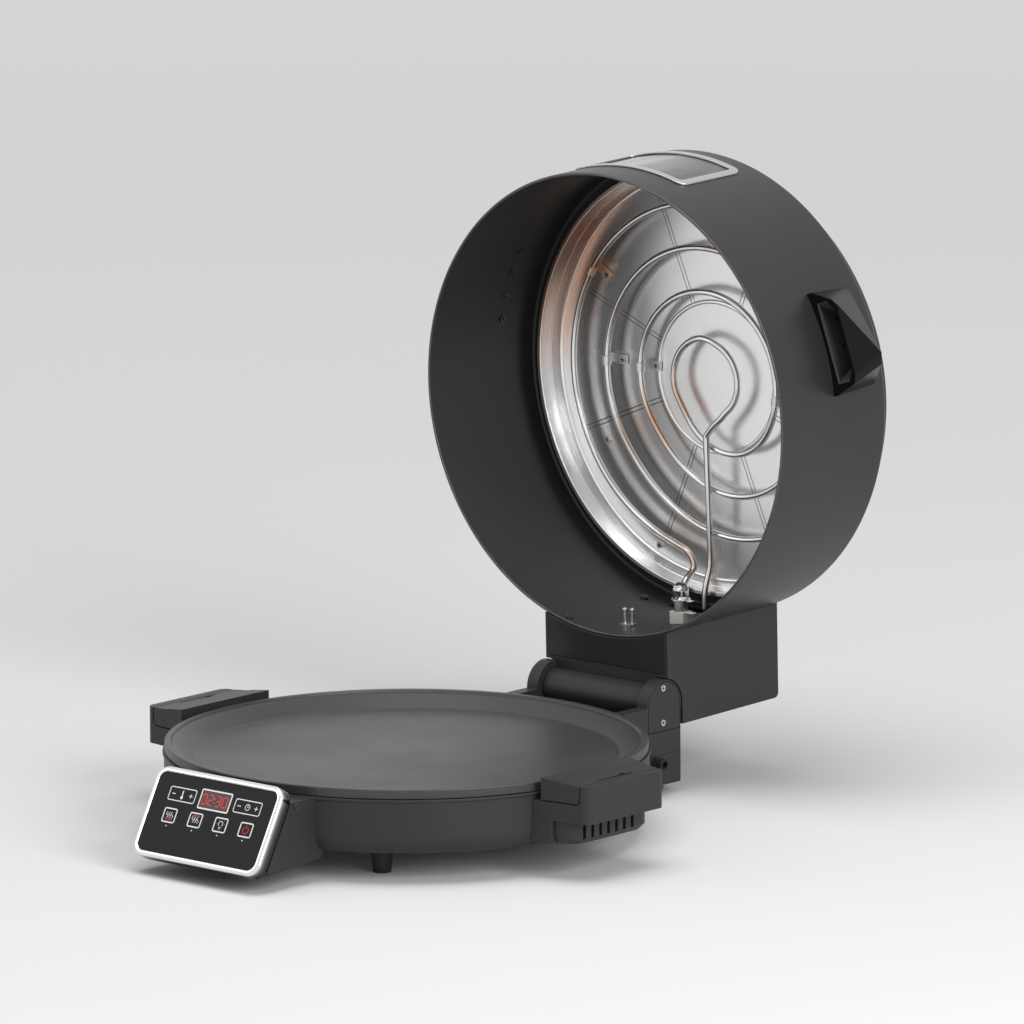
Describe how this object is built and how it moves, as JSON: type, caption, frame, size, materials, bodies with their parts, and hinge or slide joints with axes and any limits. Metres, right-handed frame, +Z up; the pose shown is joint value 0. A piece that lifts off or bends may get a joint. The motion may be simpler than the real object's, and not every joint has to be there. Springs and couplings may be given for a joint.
{
  "type": "electric pizza maker",
  "caption": "Countertop pizza maker: a round heated base with a lift-out pan and a sloped touch panel, under a deep drum lid on a rear hinge.",
  "frame": {"origin": "on the table under the middle of the whole appliance, with its lid open", "axes": "+Z up, -Y towards the user at the control panel, +X to the user's right"},
  "size_m": [0.418, 0.565, 0.448],
  "materials": {
    "charcoal_plastic": "satin moulded",
    "black_gloss": "glossy",
    "black_steel": "satin baked enamel",
    "chrome": "bright plated",
    "polished_steel": "polished",
    "grey_steel": "plain",
    "bright_steel": "bright",
    "element": "heat-dulled",
    "coated_cast": "non-stick coated",
    "rubber": "matte",
    "ceramic": "unglazed",
    "insulation": "mineral fibre",
    "panel_print": "printed gloss film",
    "display": "smoked",
    "circuit": "solder mask",
    "nylon": "natural",
    "glass": "clear"
  },
  "bodies": {
    "base": {"base_shell": "charcoal_plastic", "bottom_plate": "grey_steel", "base_screws": "grey_steel", "feet": "charcoal_plastic", "foot_pads": "rubber", "lower_reflector": "grey_steel", "lower_insulation": "insulation", "lower_element": "element", "lower_element_clips": "bright_steel", "pan_probe": "bright_steel", "probe_holder": "grey_steel", "thermal_cutout": "nylon", "control_box": "charcoal_plastic", "panel_bezel": "chrome", "control_panel": "panel_print", "display_module": "display", "control_board": "circuit", "side_screws": "grey_steel", "wing_left": "charcoal_plastic", "wing_right": "charcoal_plastic", "wing_vent_left": "charcoal_plastic", "wing_vent_right": "charcoal_plastic", "hinge_tower": "charcoal_plastic", "tower_tub": "charcoal_plastic", "ear_cover_left": "charcoal_plastic", "ear_cover_right": "charcoal_plastic", "ear_screws": "bright_steel", "hinge_bushes": "nylon", "cord_bushing": "rubber", "terminal_block": "nylon", "baking_pan": "coated_cast", "pan_handle_left": "charcoal_plastic", "pan_handle_right": "charcoal_plastic", "pan_handle_screws": "bright_steel"},
    "lid": {"drum_shell": "black_steel", "top_cap": "black_steel", "cap_screws": "grey_steel", "reflector": "polished_steel", "upper_insulation": "insulation", "upper_element": "element", "element_clips": "bright_steel", "clip_screws": "bright_steel", "reflector_screws": "bright_steel", "lamp_block": "ceramic", "lamp_socket": "grey_steel", "lamp_flange": "chrome", "lamp_glass": "glass", "lid_probe": "bright_steel", "wall_screws": "bright_steel", "window_frame": "chrome", "window_glass": "glass", "lid_handle_left": "black_gloss", "lid_handle_right": "black_gloss", "rear_box": "charcoal_plastic", "box_cover": "black_gloss", "hinge_barrel": "charcoal_plastic", "hinge_pins": "bright_steel", "element_terminals": "ceramic"}
  },
  "joints": [
    {"name": "lid_hinge", "type": "hinge", "parent": "base", "child": "lid", "pos_m": [0, 0.15, 0.066], "axis": [1, 0, 0], "range_deg": [0, 88.5]}
  ]
}
